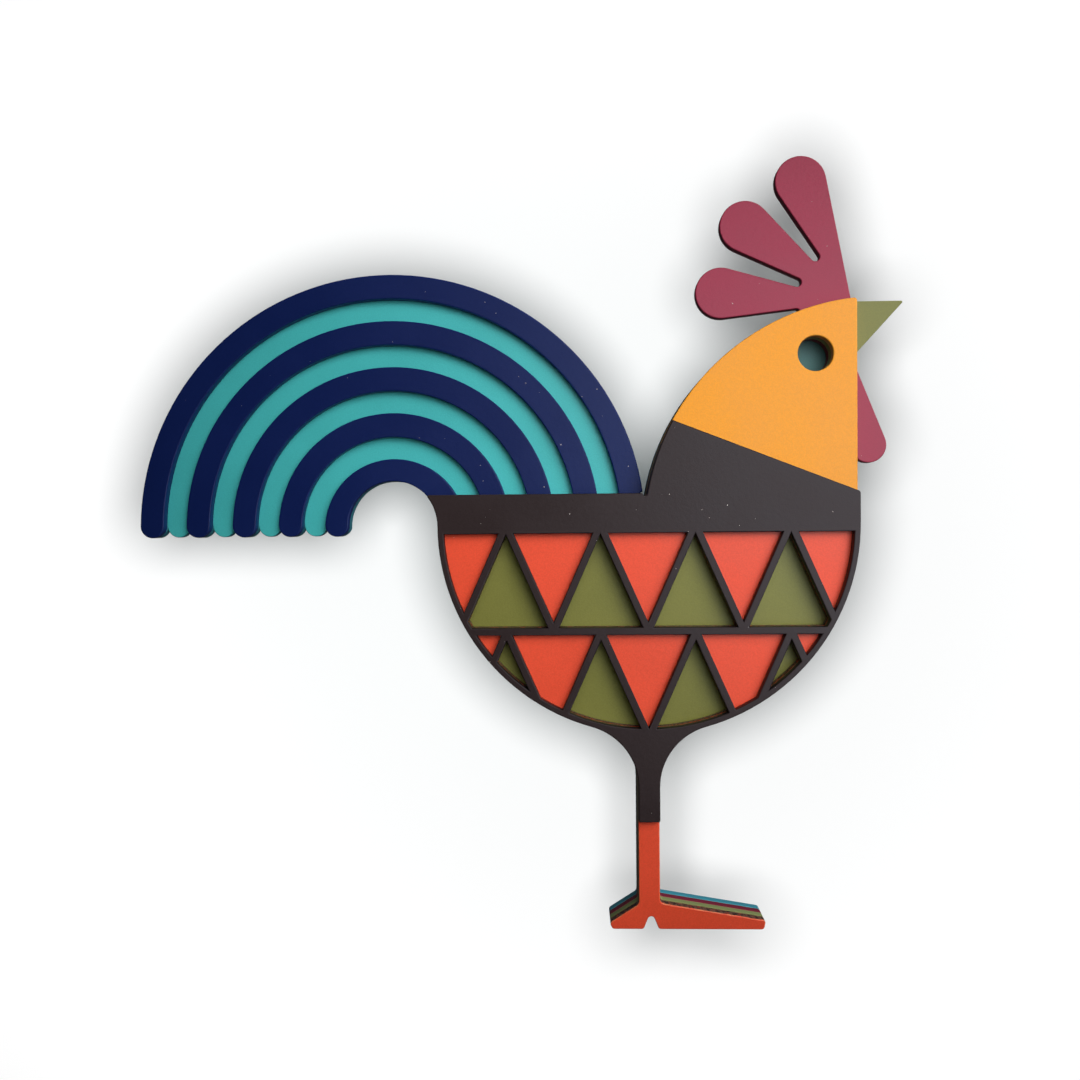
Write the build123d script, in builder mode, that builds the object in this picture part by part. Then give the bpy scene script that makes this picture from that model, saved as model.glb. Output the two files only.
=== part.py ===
from build123d import *
import os
from math import asin, atan2, cos, degrees, radians, sin, sqrt, tan

# Rooster of Barcelos, a flat wall ornament of seven painted sheets in five glued layers.
# X is to the right as seen from the front, Z is up and the front faces -Y.
# The wall is the plane y = 0. The origin is midway between the keyholes' entry holes, on the wall.

# Sheets
sheet = 3.0  # thickness of every sheet
seam_gap = 0.1  # gap where two sheets of one layer meet edge to edge

# Body: the lower half of a disc under a straight band
body_radius = 63.2
band_height = 9.4  # the band's top edge, above the disc's middle
thigh_fillet = 19.0  # between the disc and the leg
notch_radius = 0.75  # round end of the cut between tail and neck
band_corner = 0.45  # the band's tip above the opening

# Lattice of the front frame
lattice_columns = 4.45  # triangles across the disc
lattice_rows = 1.975  # triangles down to the disc's lower edge
row_count = 2
cells_each_side = 2
strut_width = 2.2
rim_width = 1.8
band_drop = 2.5  # the band reaches this far below the disc's middle

# Head and neck: a piece of a large disc, cut off straight along the right edge
head_radius = 70.8
head_overhang = 6.5  # from the right edge to the middle of the head's disc
head_drop = 3.0  # the middle of the head's disc, below the body's middle
eye_radius = 5.3
eye_from_edge = 12.4
eye_height = 50.9  # above the body's middle
collar_slope = 21.4  # degrees, top edge of the front frame across the neck
collar_lap = 8.0  # the head sheet runs this far down under the collar
collar_corner = 1.0
head_corner = 0.9

# Comb: drops that fan out from the head's upper right corner
comb_count = 3
comb_reach = 39.8  # from the root to the middle of a drop's round end
comb_round = 7.8
comb_first = 22.5  # degrees left of straight up
comb_step = 31.4
comb_crotch = 1.35  # round end of the slot between two drops
comb_corner = 0.8  # round end of the slot between the last drop and the head

# Wattle: one drop that hangs from the beak's lower corner
wattle_reach = 27.4
wattle_round = 5.45
wattle_lean = 10.5  # degrees right of straight down

# Beak
beak_length = 14.9
beak_depth = 16.2
beak_drop = 0.6  # its top edge, below the head's corner
beak_tip = 0.4

# Tail: half rings from the cut beside the neck to the round opening beside the body
opening_radius = 14.5
tail_opening_radius = 14.15  # the opening in the tail's sheets, a little tighter
tail_opening_shift = 0.45  # its middle, left of the opening's middle
tail_shift = 1.2  # the outer ring's middle, left of the opening's middle
tail_drop = 0.9  # the rings' middle, below the body's middle
tail_lap = 0.8  # the outer ring runs this far past the cut's middle, under the band
feather_count = 5
feather_width = 7.4
feather_creep = 0.3  # each ring's middle, right of the middle of the ring around it
feather_root = 4.4  # width of the hidden strip that joins the feathers
feather_end = 0.7  # middle of the feathers' round ends, above the body's middle

# Leg and foot
leg_width = 6.4
thigh_end = 89.6  # lower end of the front frame, below the body's middle
thigh_corner = 0.6
sole_drop = 123.1  # the sole, below the body's middle
heel_reach = 12.25
heel_rise = 7.65  # where the heel's top meets the leg, above the sole
heel_slope = 32.5  # degrees
heel_slant = 1.0
heel_round = 1.1
toe_reach = 35.2
toe_rise = 8.0
toe_slope = 9.3
toe_slant = 0.6
toe_round = 0.9
ankle_fillet = 1.6  # between the leg and the top of the foot
sole_round = 1.0  # lower corners of heel and toe
sole_notch_width = 4.6
sole_notch_height = 5.7  # to the point, before it is rounded
sole_notch_offset = 0.5  # middle of the notch, right of the leg's middle
sole_notch_apex = 1.1
sole_notch_flare = 1.0

# Two keyholes in the back sheet, with room for the screws' heads in the next layer
keyhole_entry = 4.0  # radius
keyhole_slot = 4.2  # width
keyhole_travel = 7.5
keyhole_spacing = 50.0
keyhole_left = 11.0  # middle of the pair, left of the body's middle, in line with the centre of mass
keyhole_drop = 9.0  # below the body's middle

# Places worked out from the sizes above, measured from the body's middle
lattice_pitch = 2 * body_radius / lattice_columns
row_height = body_radius / lattice_rows
right_edge = body_radius
head_x = right_edge + head_overhang
head_top = sqrt(head_radius**2 - head_overhang**2) - head_drop
neck_x = head_x - sqrt(head_radius**2 - (band_height + head_drop) ** 2)
notch_x = neck_x - notch_radius
opening_x = -(body_radius + opening_radius)
tail_opening_x = opening_x - tail_opening_shift
tail_x = opening_x - tail_shift
tail_radius = notch_x + tail_lap - tail_x
tail_inner = opening_radius - tail_shift + (feather_count - 1) * feather_creep
feather_gap = (tail_radius - tail_inner - feather_count * feather_width) / (feather_count - 1)
feather_pitch = feather_width + feather_gap
seam_z = band_height - feather_root
beak_top = head_top - beak_drop
beak_bottom = beak_top - beak_depth
sole_z = -sole_drop
leg_length = sole_drop - (sole_notch_height + toe_rise) / 2  # down into the foot, above its notch
beyond = 2 * (tail_radius + body_radius + head_radius)  # longer than the bird, for cuts that run past it


def layer(number):
    """Drawing plane of a layer, counted from the wall, with the body's middle as its origin."""
    return Plane(
        origin=(keyhole_left, -sheet * (number - 1), keyhole_drop),
        x_dir=(1, 0, 0),
        z_dir=(0, -1, 0),
    )


def aim(angle):
    """Unit step at an angle in degrees, left of straight up."""
    return Vector(-sin(radians(angle)), cos(radians(angle)))


def drop(root, angle, reach, end_radius):
    """A drop with its point at the root and its round end at the reach."""
    half = asin(end_radius / reach)
    side = reach * cos(half)
    half_angle = degrees(half)
    left = root + aim(angle + half_angle) * side
    right = root + aim(angle - half_angle) * side
    Polygon(root, right, left, align=None)
    with Locations(root + aim(angle) * reach):
        Circle(end_radius)


def slot_end(root, first, second, middle, radius):
    """Fill a narrow slot from its root to where a circle touches both its sides."""
    Polygon(root, first, second, align=None)
    with Locations(middle):
        Circle(radius, mode=Mode.SUBTRACT)


def above_collar(lap):
    """All that lies above the collar line, moved down by a lap."""
    start = band_height - lap
    slope = tan(radians(collar_slope))
    Polygon(
        (right_edge + beyond, start - beyond * slope),
        (right_edge + beyond, beyond),
        (right_edge - beyond, start + beyond * slope + beyond),
        (right_edge - beyond, start + beyond * slope),
        align=None,
    )


def cell(middle, row, points_up):
    """One triangle of the lattice, drawn in by half a strut on each side."""
    lean = atan2(lattice_pitch / 2, row_height)
    inset = strut_width / 2
    half_base = lattice_pitch / 2 * (1 - inset / row_height) - inset / cos(lean)
    point = row_height - inset / sin(lean)
    base_z = -row_height * (row + 1) + inset if points_up else -row_height * row - inset
    point_z = -row_height * (row + 1) + point if points_up else -row_height * row - point
    corners = [(middle - half_base, base_z), (middle + half_base, base_z), (middle, point_z)]
    Polygon(*corners, align=None)


def inside_rim():
    """Keep what lies inside the rim and below the band."""
    Circle(body_radius - rim_width, mode=Mode.INTERSECT)
    with Locations((0, -band_drop)):
        Rectangle(beyond, beyond, align=(Align.CENTER, Align.MIN), mode=Mode.SUBTRACT)


def left_side(middle, radius):
    """Where the left side of a ring's circle meets the line of the round ends."""
    rise = tail_drop + feather_end
    return middle - sqrt(radius**2 - rise**2)


def round_ends(strips):
    """Round left ends of strips, each given by its left and right side."""
    for left, right in strips:
        with Locations(((left + right) / 2, feather_end)):
            Circle((right - left) / 2)


def keyholes(width):
    """Two slots of a width, each up from the circle of its entry hole."""
    for side in (-keyhole_spacing / 2, keyhole_spacing / 2):
        with Locations((side - keyhole_left, -keyhole_drop)):
            Circle(keyhole_entry)
            Rectangle(width, keyhole_travel, align=(Align.CENTER, Align.MIN))
        with Locations((side - keyhole_left, keyhole_travel - keyhole_drop)):
            Circle(width / 2)


# Rings of the tail, outermost first, each with its middle and outer radius
# Feathers and the gaps between them, each with its left and right side at the round ends
rings = [(tail_x + i * feather_creep, tail_radius - i * feather_pitch) for i in range(feather_count)]
feathers = [(left_side(x, radius), left_side(x, radius - feather_width)) for x, radius in rings]
gaps = [(outer[1], inner[0]) for outer, inner in zip(feathers, feathers[1:])]

# Outline of the half disc, the band, the neck, the head, the leg and the foot
with BuildSketch() as body_outline:
    Circle(body_radius)
    Rectangle(beyond, beyond, align=(Align.CENTER, Align.MIN), mode=Mode.SUBTRACT)
    Rectangle(leg_width, leg_length, align=(Align.CENTER, Align.MAX))
    hips = body_outline.vertices().filter_by_position(Axis.Y, -body_radius - leg_width, -body_radius / 2)
    fillet(hips.filter_by_position(Axis.X, -leg_width, leg_width), thigh_fillet)
    with Locations((opening_x, 0)):
        Rectangle(right_edge - opening_x, band_height, align=(Align.MIN, Align.MIN))
        Circle(opening_radius, mode=Mode.SUBTRACT)

with BuildSketch() as head_outline:
    with Locations((head_x, -head_drop)):
        Circle(head_radius)
    with Locations((right_edge, 0)):
        Rectangle(beyond, beyond, align=(Align.MAX, Align.MIN), mode=Mode.INTERSECT)

with BuildSketch() as foot_outline:
    heel_tip = heel_rise - (heel_reach - leg_width / 2) * tan(radians(heel_slope))
    toe_tip = toe_rise - (toe_reach - leg_width / 2) * tan(radians(toe_slope))
    Polygon(
        (-leg_width / 2, sole_z + heel_rise),
        (-heel_reach, sole_z + heel_tip),
        (heel_slant - heel_reach, sole_z),
        (toe_reach - toe_slant, sole_z),
        (toe_reach, sole_z + toe_tip),
        (leg_width / 2, sole_z + toe_rise),
        align=None,
    )
    fillet(foot_outline.vertices().group_by(Axis.X)[0], heel_round)
    fillet(foot_outline.vertices().group_by(Axis.X)[-1], toe_round)
    fillet(foot_outline.vertices().group_by(Axis.Y)[0], sole_round)
    sole_notch = (sole_notch_offset, sole_z)
    with BuildSketch(mode=Mode.SUBTRACT) as sole_cut:
        with Locations(sole_notch):
            Triangle(
                a=sole_notch_width,
                b=sqrt(sole_notch_height**2 + (sole_notch_width / 2) ** 2),
                c=sqrt(sole_notch_height**2 + (sole_notch_width / 2) ** 2),
                align=(Align.CENTER, Align.MIN),
            )
        fillet(sole_cut.vertices().group_by(Axis.Y)[-1], sole_notch_apex)
    flares = foot_outline.vertices().group_by(Axis.Y)[0].sort_by_distance(sole_notch)[:2]
    fillet(flares, sole_notch_flare)

with BuildSketch() as bird_outline:
    add(body_outline.sketch)
    add(head_outline.sketch)
    add(foot_outline.sketch)
    for ankle in ((-leg_width / 2, sole_z + heel_rise), (leg_width / 2, sole_z + toe_rise)):
        fillet(bird_outline.vertices().sort_by_distance(ankle)[:1], ankle_fillet)
    band_tip = (opening_x + sqrt(opening_radius**2 - band_height**2), band_height)
    fillet(bird_outline.vertices().sort_by_distance(band_tip)[:1], band_corner)
    with Locations((notch_x, band_height)):
        Circle(notch_radius, mode=Mode.SUBTRACT)

# Windows of the lattice: the upright triangles show the third layer, the others the fourth
with BuildSketch() as upright_cells:
    for row in range(row_count):
        for i in range(-cells_each_side, cells_each_side):
            cell(lattice_pitch * (i + 0.5), row, True)
    inside_rim()

with BuildSketch() as hanging_cells:
    for row in range(row_count):
        for i in range(-cells_each_side, cells_each_side + 1):
            cell(lattice_pitch * i, row, False)
    inside_rim()

# Layer 1: the whole bird with its tail, without comb, beak and wattle
with BuildPart() as teal_back_plate:
    with BuildSketch(layer(1)) as teal_outline:
        with Locations((tail_x, -tail_drop)):
            Circle(tail_radius)
        with Locations((0, feather_end)):
            Rectangle(2 * beyond, beyond, align=(Align.CENTER, Align.MAX), mode=Mode.SUBTRACT)
        round_ends(feathers + gaps)
        with Locations((tail_opening_x, 0)):
            Circle(tail_opening_radius, mode=Mode.SUBTRACT)
        add(bird_outline.sketch)
        with Locations((notch_x, band_height)):
            Circle(notch_radius, mode=Mode.SUBTRACT)
        with BuildSketch(mode=Mode.SUBTRACT):
            keyholes(keyhole_slot)
    extrude(amount=sheet)
teal_back_plate.part.label = "teal_back_plate"

# Layer 2, left: five tail feathers on a strip that the body hides
with BuildPart() as navy_tail_plate:
    with BuildSketch(layer(2)) as navy_outline:
        with Locations((tail_x, -tail_drop)):
            Circle(tail_radius)
        for (x, radius), (inner_x, inner_radius) in zip(rings, rings[1:]):
            with Locations((x, -tail_drop)):
                Circle(radius - feather_width, mode=Mode.SUBTRACT)
            with Locations((inner_x, -tail_drop)):
                Circle(inner_radius)
        with Locations((0, feather_end)):
            Rectangle(2 * beyond, beyond, align=(Align.CENTER, Align.MAX), mode=Mode.SUBTRACT)
        with Locations((opening_x, seam_z)):
            Rectangle(beyond, beyond, align=(Align.MIN, Align.MAX), mode=Mode.SUBTRACT)
        round_ends(feathers)
        with Locations((opening_x, seam_z)):
            Rectangle(notch_x - opening_x, feather_root, align=(Align.MIN, Align.MIN))
        with Locations((notch_x, band_height)):
            Rectangle(beyond, beyond, align=(Align.MIN, Align.MAX), mode=Mode.SUBTRACT)
        with Locations((tail_opening_x, 0)):
            Circle(tail_opening_radius, mode=Mode.SUBTRACT)
        with Locations((notch_x, band_height)):
            Circle(notch_radius, mode=Mode.SUBTRACT)
    extrude(amount=sheet)
navy_tail_plate.part.label = "navy_tail_plate"

# Layer 2, right: comb and wattle on the core of the body
with BuildPart() as maroon_comb_plate:
    with BuildSketch(layer(2)) as maroon_outline:
        add(bird_outline.sketch)
        with Locations((notch_x + seam_gap, seam_z - seam_gap)):
            Rectangle(beyond, beyond, align=(Align.MAX, Align.MIN), mode=Mode.SUBTRACT)
        comb_root = Vector(right_edge, head_top)
        for i in range(comb_count):
            drop(comb_root, comb_first + i * comb_step, comb_reach, comb_round)
        drop_half = degrees(asin(comb_round / comb_reach))
        slot_half = comb_step / 2 - drop_half
        slot_side = comb_crotch / tan(radians(slot_half))
        for i in range(comb_count - 1):
            slot_angle = comb_first + (i + 0.5) * comb_step
            slot_end(
                comb_root,
                comb_root + aim(slot_angle - slot_half) * slot_side,
                comb_root + aim(slot_angle + slot_half) * slot_side,
                comb_root + aim(slot_angle) * (comb_crotch / sin(radians(slot_half))),
                comb_crotch,
            )
        last_side = comb_first + (comb_count - 1) * comb_step + drop_half
        head_middle = Vector(head_x, -head_drop)
        start = comb_root + aim(last_side + 90) * comb_corner - head_middle
        along = start.dot(aim(last_side))
        corner_reach = head_radius + comb_corner
        travel = sqrt(along**2 - start.dot(start) + corner_reach**2) - along
        corner_middle = head_middle + start + aim(last_side) * travel
        slot_end(
            comb_root,
            comb_root + aim(last_side) * travel,
            head_middle + (corner_middle - head_middle) * (head_radius / corner_reach),
            corner_middle,
            comb_corner,
        )
        drop(Vector(right_edge, beak_bottom), 180 + wattle_lean, wattle_reach, wattle_round)
        with BuildSketch(mode=Mode.SUBTRACT):
            keyholes(2 * keyhole_entry)
        with Locations((right_edge - eye_from_edge, eye_height)):
            Circle(eye_radius, mode=Mode.SUBTRACT)
    extrude(amount=sheet)
maroon_comb_plate.part.label = "maroon_comb_plate"

# Layer 3: the beak and the floor of the upright windows
with BuildPart() as green_beak_plate:
    with BuildSketch(layer(3)) as green_outline:
        with BuildSketch() as beak:
            Polygon(
                (right_edge, beak_top),
                (right_edge, beak_bottom),
                (right_edge + beak_length, beak_top),
                align=None,
            )
            fillet(beak.vertices().group_by(Axis.X)[-1], beak_tip)
        add(bird_outline.sketch)
        with Locations((right_edge - eye_from_edge, eye_height)):
            Circle(eye_radius, mode=Mode.SUBTRACT)
    extrude(amount=sheet)
green_beak_plate.part.label = "green_beak_plate"

# Layer 4, below: breast, leg and foot, open at the upright windows
with BuildPart() as orange_breast_plate:
    with BuildSketch(layer(4)) as orange_outline:
        add(bird_outline.sketch)
        with BuildSketch(mode=Mode.SUBTRACT):
            above_collar(collar_lap + seam_gap)
            Rectangle(beyond, beyond, align=(Align.CENTER, Align.MAX), mode=Mode.SUBTRACT)
            with Locations((notch_x, 0)):
                Rectangle(beyond, beyond, align=(Align.MAX, Align.CENTER), mode=Mode.SUBTRACT)
        add(upright_cells.sketch, mode=Mode.SUBTRACT)
    extrude(amount=sheet)
orange_breast_plate.part.label = "orange_breast_plate"

# Layer 4, above: head and upper neck
with BuildPart() as yellow_head_plate:
    with BuildSketch(layer(4)) as yellow_outline:
        add(head_outline.sketch)
        with BuildSketch(mode=Mode.INTERSECT):
            above_collar(collar_lap)
        corner = yellow_outline.vertices().sort_by_distance((right_edge, head_top))[:1]
        fillet(corner, head_corner)
        with Locations((right_edge - eye_from_edge, eye_height)):
            Circle(eye_radius, mode=Mode.SUBTRACT)
    extrude(amount=sheet)
yellow_head_plate.part.label = "yellow_head_plate"

# Layer 5: the front frame with its band, lattice, collar and thigh
with BuildPart() as black_front_frame:
    with BuildSketch(layer(5)) as black_outline:
        add(bird_outline.sketch)
        with BuildSketch(mode=Mode.SUBTRACT):
            above_collar(0)
            with Locations((notch_x, 0)):
                Rectangle(beyond, beyond, align=(Align.MAX, Align.CENTER), mode=Mode.SUBTRACT)
        with Locations((0, -thigh_end)):
            Rectangle(beyond, beyond, align=(Align.CENTER, Align.MAX), mode=Mode.SUBTRACT)
        fillet(black_outline.vertices().group_by(Axis.Y)[0], thigh_corner)
        fillet(black_outline.vertices().sort_by_distance((right_edge, band_height))[:1], collar_corner)
        add(upright_cells.sketch, mode=Mode.SUBTRACT)
        add(hanging_cells.sketch, mode=Mode.SUBTRACT)
    extrude(amount=sheet)
black_front_frame.part.label = "black_front_frame"

os.makedirs("parts", exist_ok=True)
for piece in (
    teal_back_plate,
    navy_tail_plate,
    maroon_comb_plate,
    green_beak_plate,
    orange_breast_plate,
    yellow_head_plate,
    black_front_frame,
):
    export_step(piece.part, f"parts/{piece.part.label}.step")
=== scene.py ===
"""Looks of a painted rooster wall ornament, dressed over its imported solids."""

import logging
import math
from dataclasses import dataclass, field, fields
from enum import Enum

import bmesh
import bpy
from bmesh.types import BMesh
from bpy.types import Camera, Collection, Light, Material, Mesh, Node, NodeSocket, NodeTree, Object
from mathutils import Matrix, Vector
from mathutils.geometry import delaunay_2d_cdt


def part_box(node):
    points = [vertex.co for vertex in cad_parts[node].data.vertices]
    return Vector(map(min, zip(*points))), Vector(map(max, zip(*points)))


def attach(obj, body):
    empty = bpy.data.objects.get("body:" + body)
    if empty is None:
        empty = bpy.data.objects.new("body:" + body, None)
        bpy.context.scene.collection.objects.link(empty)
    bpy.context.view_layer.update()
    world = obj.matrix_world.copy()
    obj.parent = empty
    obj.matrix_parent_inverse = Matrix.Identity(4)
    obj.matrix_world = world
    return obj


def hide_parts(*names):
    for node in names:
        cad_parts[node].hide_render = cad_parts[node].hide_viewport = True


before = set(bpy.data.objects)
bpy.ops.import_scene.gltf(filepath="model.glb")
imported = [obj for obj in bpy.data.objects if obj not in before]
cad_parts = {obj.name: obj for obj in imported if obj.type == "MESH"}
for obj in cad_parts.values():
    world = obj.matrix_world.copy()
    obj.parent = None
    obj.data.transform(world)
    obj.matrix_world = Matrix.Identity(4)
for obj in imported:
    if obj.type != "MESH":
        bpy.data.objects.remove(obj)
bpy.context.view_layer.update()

LOG = logging.getLogger("rooster_ornament")
MM = 0.001
BODY = "root"
RIM = "rim"
WALL = "wall"
FILL_WITHIN_RIM = 1
ROUND_PROFILE = 0.5
FULL_LEVEL = 255.0
WHITE = (1.0, 1.0, 1.0, 1.0)
TO_FRONT = Vector((0.0, -1.0, 0.0))
TO_BACK = Vector((0.0, 1.0, 0.0))
UPWARD = Vector((0.0, 0.0, 1.0))
DUST_SEED = 11
DUSTY_SHEETS = {  # flakes to the square metre, and the slot of the paint that they lie on
    "navy_feather_sheet": (900.0, "navy_paint"),
    "maroon_comb_sheet": (4800.0, "maroon_paint"),
    "orange_breast_sheet": (900.0, "orange_paint"),
    "black_lattice_sheet": (2600.0, "black_paint"),
}

Pair = tuple[float, float]
Triple = tuple[float, float, float]
Colour = Triple
SocketValue = NodeSocket | float | int | bool | tuple | Vector


class EdgeStyle(Enum):
    """How the cut edge of a sheet is finished."""

    PAINTED = "painted"
    BARE = "bare"


class SocketKind(Enum):
    """The kinds of socket that the node groups use."""

    COLOUR = "NodeSocketColor"
    NUMBER = "NodeSocketFloat"
    WHOLE = "NodeSocketInt"
    VECTOR = "NodeSocketVector"
    COLLECTION = "NodeSocketCollection"
    MATERIAL = "NodeSocketMaterial"
    GEOMETRY = "NodeSocketGeometry"


SocketNames = dict[SocketKind, tuple[str, ...]]


def linear(colour: Colour) -> tuple[float, float, float, float]:
    """Turn a screen colour into linear light, by the curve that screens share.

    Args:
        colour: Red, green and blue on the 0 to 255 screen scale.

    Returns:
        Linear red, green and blue with full alpha.
    """
    straight_end, straight_slope = 0.04045, 12.92
    lift, gain, power = 0.055, 1.055, 2.4
    channels = []
    for level in colour:
        share = level / FULL_LEVEL
        curved = ((share + lift) / gain) ** power
        channels.append(share / straight_slope if share <= straight_end else curved)
    return channels[0], channels[1], channels[2], 1.0


@dataclass(frozen=True)
class Pattern:
    """A cloudy pattern that a finish reads.

    Attributes:
        scale: Patches to the metre.
        detail: How many finer layers it has.
        span: The values that are stretched out to the full range, or None to leave it as it is.
    """

    scale: float
    detail: float
    span: Pair | None = (0.3, 0.7)


@dataclass
class NodeBench:
    """A node tree that is being put together.

    Attributes:
        tree: The tree that the nodes go into.
    """

    tree: NodeTree

    def add(self, kind: str, values: dict[str | int, SocketValue] | None = None, **settings: object) -> Node:
        """Place a node and feed its sockets.

        Args:
            kind: The node's type name.
            values: What goes into its sockets, by name or place.
            **settings: The node's own options.

        Returns:
            The new node.
        """
        node = self.tree.nodes.new(kind)
        for name, setting in settings.items():
            setattr(node, name, setting)
        for socket, value in (values or {}).items():
            self.feed(node.inputs[socket], value)
        return node

    def feed(self, socket: NodeSocket, value: SocketValue) -> None:
        """Link an output to a socket, or set the socket's plain value.

        Args:
            socket: The input that takes the value.
            value: Another node's output, or a plain value.
        """
        if isinstance(value, NodeSocket):
            self.tree.links.new(value, socket)
        else:
            socket.default_value = value

    def sum(self, operation: str, *terms: SocketValue) -> NodeSocket:
        """Work out a number from other numbers.

        Args:
            operation: The Math node's operation.
            *terms: Its inputs in order.

        Returns:
            The result's output.
        """
        return self.add("ShaderNodeMath", dict(enumerate(terms)), operation=operation).outputs[0]

    def ramp(self, value: SocketValue, low: float, high: float, start: float = 0.0,
             end: float = 1.0) -> NodeSocket:
        """Map a number smoothly from one span to another.

        Args:
            value: The number to map.
            low: Where the span starts.
            high: Where the span ends.
            start: What the start maps to.
            end: What the end maps to.

        Returns:
            The mapped number's output.
        """
        node = self.add("ShaderNodeMapRange", {0: value, 1: low, 2: high, 3: start, 4: end},
                        interpolation_type="SMOOTHSTEP")
        return node.outputs[0]

    def blend(self, share: SocketValue, first: SocketValue, second: SocketValue) -> NodeSocket:
        """Mix two colours.

        Args:
            share: How much of the second colour shows.
            first: The first colour.
            second: The second colour.

        Returns:
            The mixed colour's output.
        """
        node = self.add("ShaderNodeMix", data_type="RGBA")
        factor, colour_a, colour_b, mixed = node.inputs[0], node.inputs[6], node.inputs[7], node.outputs[2]
        self.feed(factor, share)
        self.feed(colour_a, first)
        self.feed(colour_b, second)
        return mixed

    def place(self, shift: SocketValue, stretch: Triple = (1.0, 1.0, 1.0)) -> NodeSocket:
        """Read the piece's own coordinates, moved along so that pieces differ.

        Args:
            shift: How far the pattern is moved.
            stretch: The pattern's scale along each axis.

        Returns:
            The coordinates' output.
        """
        own = self.add("ShaderNodeTexCoord").outputs["Object"]
        moved = self.add("ShaderNodeVectorMath", {0: own, 1: shift}, operation="ADD").outputs[0]
        return self.add("ShaderNodeVectorMath", {0: moved, 1: stretch}, operation="MULTIPLY").outputs[0]

    def noise(self, place: NodeSocket, pattern: Pattern, start: float = 0.0, end: float = 1.0) -> NodeSocket:
        """Add a pattern.

        Args:
            place: The coordinates to read.
            pattern: The pattern.
            start: What the start of its span maps to.
            end: What the end of its span maps to.

        Returns:
            The pattern's value.
        """
        node = self.add("ShaderNodeTexNoise", {
            "Vector": place, "Scale": pattern.scale, "Detail": pattern.detail})
        if pattern.span is None:
            return node.outputs[0]
        return self.ramp(node.outputs[0], *pattern.span, start, end)

    def marked(self, name: str) -> NodeSocket:
        """Read one of the sheet's own marks.

        Args:
            name: The mark, such as the rim.

        Returns:
            How far the mark holds, from 0 to 1.
        """
        return self.add("ShaderNodeAttribute", attribute_name=name).outputs["Fac"]


def new_group(name: str, inputs: SocketNames, outputs: SocketNames, kind: str = "ShaderNodeTree"
              ) -> tuple[NodeBench, dict[str, NodeSocket], dict[str, NodeSocket]]:
    """Start a node group with named sockets.

    Args:
        name: The group's name.
        inputs: The names of its inputs.
        outputs: The names of its outputs.
        kind: The tree's type name.

    Returns:
        A bench for the group, what is given to it and what it has to be fed, both by name.
    """
    tree = bpy.data.node_groups.new(name, kind)
    for way, sockets in (("INPUT", inputs), ("OUTPUT", outputs)):
        for socket, labels in sockets.items():
            for label in labels:
                tree.interface.new_socket(label, in_out=way, socket_type=socket.value)
    bench = NodeBench(tree)
    given, result = bench.add("NodeGroupInput").outputs, bench.add("NodeGroupOutput").inputs
    return bench, dict(given.items()), dict(result.items())


def put_up(name: str, data: Camera | Light | Mesh) -> Object:
    """Put a new object into the scene.

    Args:
        name: The object's name.
        data: What it shows.

    Returns:
        The object.
    """
    thing = bpy.data.objects.new(name, data)
    bpy.context.scene.collection.objects.link(thing)
    return thing


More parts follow.
